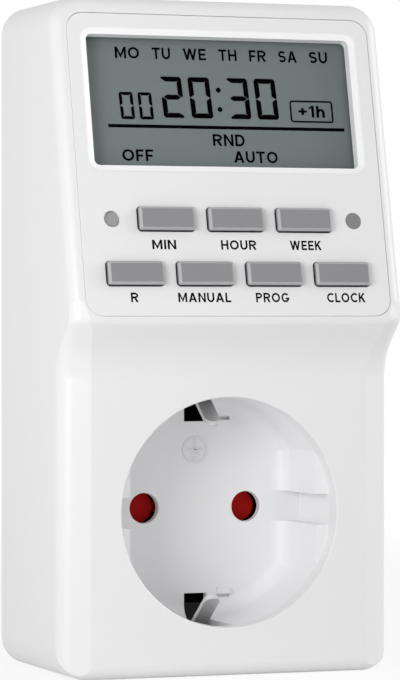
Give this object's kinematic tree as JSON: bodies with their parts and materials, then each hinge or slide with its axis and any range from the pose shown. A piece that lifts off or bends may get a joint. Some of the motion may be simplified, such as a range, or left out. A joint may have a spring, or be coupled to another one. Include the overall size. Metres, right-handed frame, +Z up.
{
  "type": "digital timer switch",
  "caption": "Plug-in weekly timer switch with a tilted display and key panel, a recessed round socket with earth clips and a shutter, and a round pin plug behind.",
  "frame": {"origin": "centre of the plug's face, where its pins stand out, on the axis of plug and socket", "axes": "+X to the right seen from the front, +Y into the wall along the plug's pins, +Z up, along the body"},
  "size_m": [0.0604, 0.0765, 0.116],
  "materials": {
    "housing_white": "satin moulded plastic",
    "panel_white": "fine satin moulded plastic",
    "socket_white": "smooth moulded plastic",
    "window_clear": "clear polished plastic",
    "display_grey": "grey liquid crystal glass",
    "key_grey": "matte grey moulded plastic",
    "lens_grey": "smoky lens",
    "lamp_clear": "tinted resin",
    "shutter_red": "dark red moulded plastic",
    "spring_steel": "plain spring steel",
    "nickel_brass": "nickel plated, fine turning marks",
    "contact_brass": "plain brass",
    "screw_steel": "zinc plated",
    "frame_black": "black moulded plastic",
    "silicone_grey": "soft silicone",
    "board_green": "glass fibre board with green lacquer",
    "can_steel": "drawn can",
    "relay_blue": "blue moulded case",
    "film_yellow": "yellow moulded case",
    "capacitor_black": "black shrink sleeve",
    "resistor_tan": "lacquered body",
    "cable_grey": "grey flat cable",
    "wire_brown": "brown insulation",
    "wire_blue": "blue insulation"
  },
  "bodies": {
    "casing": {"backup_cell": "can_steel", "base_screws": "screw_steel", "board_resistors": "resistor_tan", "contact_base": "frame_black", "contact_strips": "silicone_grey", "control_board": "board_green", "control_chip": "frame_black", "control_panel": "panel_white", "control_screws": "screw_steel", "display_glass": "display_grey", "display_window": "window_clear", "earth_bracket": "spring_steel", "earth_link": "contact_brass", "earth_sleeve": "contact_brass", "electrolytic_capacitor": "capacitor_black", "film_capacitor": "film_yellow", "front_housing": "housing_white", "glass_holder": "frame_black", "housing_screws": "screw_steel", "indicator_lamp": "lamp_clear", "indicator_lens": "lens_grey", "insert_screws": "screw_steel", "key_mat": "silicone_grey", "live_contact_sleeve": "contact_brass", "live_inlet_lead": "wire_brown", "live_outlet_lead": "wire_brown", "live_plug_pin": "nickel_brass", "neutral_contact_sleeve": "contact_brass", "neutral_lead": "wire_blue", "neutral_link": "contact_brass", "neutral_plug_pin": "nickel_brass", "plug_earth_strap": "nickel_brass", "power_board": "board_green", "power_screws": "screw_steel", "rear_cover": "housing_white", "relay": "relay_blue", "ribbon_cable": "cable_grey", "shutter_spring": "spring_steel", "socket_insert": "socket_white", "timing_crystal": "can_steel"},
    "key_minute": {"key_minute": "key_grey"},
    "key_hour": {"key_hour": "key_grey"},
    "key_week": {"key_week": "key_grey"},
    "key_recall": {"key_recall": "key_grey"},
    "key_manual": {"key_manual": "key_grey"},
    "key_program": {"key_program": "key_grey"},
    "key_clock": {"key_clock": "key_grey"},
    "reset_button": {"reset_button": "key_grey"},
    "shutter": {"shutter": "shutter_red"}
  },
  "joints": [
    {"name": "key_minute_press", "type": "slide", "parent": "casing", "child": "key_minute", "axis": [0, 0.9755, -0.2198], "range_m": [0, 0.001], "stiffness_N_per_m": 500, "springref_m": -0.0003},
    {"name": "key_hour_press", "type": "slide", "parent": "casing", "child": "key_hour", "axis": [0, 0.9755, -0.2198], "range_m": [0, 0.001], "stiffness_N_per_m": 500, "springref_m": -0.0003},
    {"name": "key_week_press", "type": "slide", "parent": "casing", "child": "key_week", "axis": [0, 0.9755, -0.2198], "range_m": [0, 0.001], "stiffness_N_per_m": 500, "springref_m": -0.0003},
    {"name": "key_recall_press", "type": "slide", "parent": "casing", "child": "key_recall", "axis": [0, 0.9755, -0.2198], "range_m": [0, 0.001], "stiffness_N_per_m": 500, "springref_m": -0.0003},
    {"name": "key_manual_press", "type": "slide", "parent": "casing", "child": "key_manual", "axis": [0, 0.9755, -0.2198], "range_m": [0, 0.001], "stiffness_N_per_m": 500, "springref_m": -0.0003},
    {"name": "key_program_press", "type": "slide", "parent": "casing", "child": "key_program", "axis": [0, 0.9755, -0.2198], "range_m": [0, 0.001], "stiffness_N_per_m": 500, "springref_m": -0.0003},
    {"name": "key_clock_press", "type": "slide", "parent": "casing", "child": "key_clock", "axis": [0, 0.9755, -0.2198], "range_m": [0, 0.001], "stiffness_N_per_m": 500, "springref_m": -0.0003},
    {"name": "reset_press", "type": "slide", "parent": "casing", "child": "reset_button", "axis": [0, 0.9755, -0.2198], "range_m": [0, 0.0008], "stiffness_N_per_m": 500, "springref_m": -0.0003},
    {"name": "shutter_turn", "type": "hinge", "parent": "casing", "child": "shutter", "pos_m": [0, -0.0311, 0], "axis": [0, 1, 0], "range_deg": [0, 38], "stiffness_Nm_per_rad": 0.0008, "springref_deg": -17.19, "deforming": ["shutter_spring"]}
  ]
}
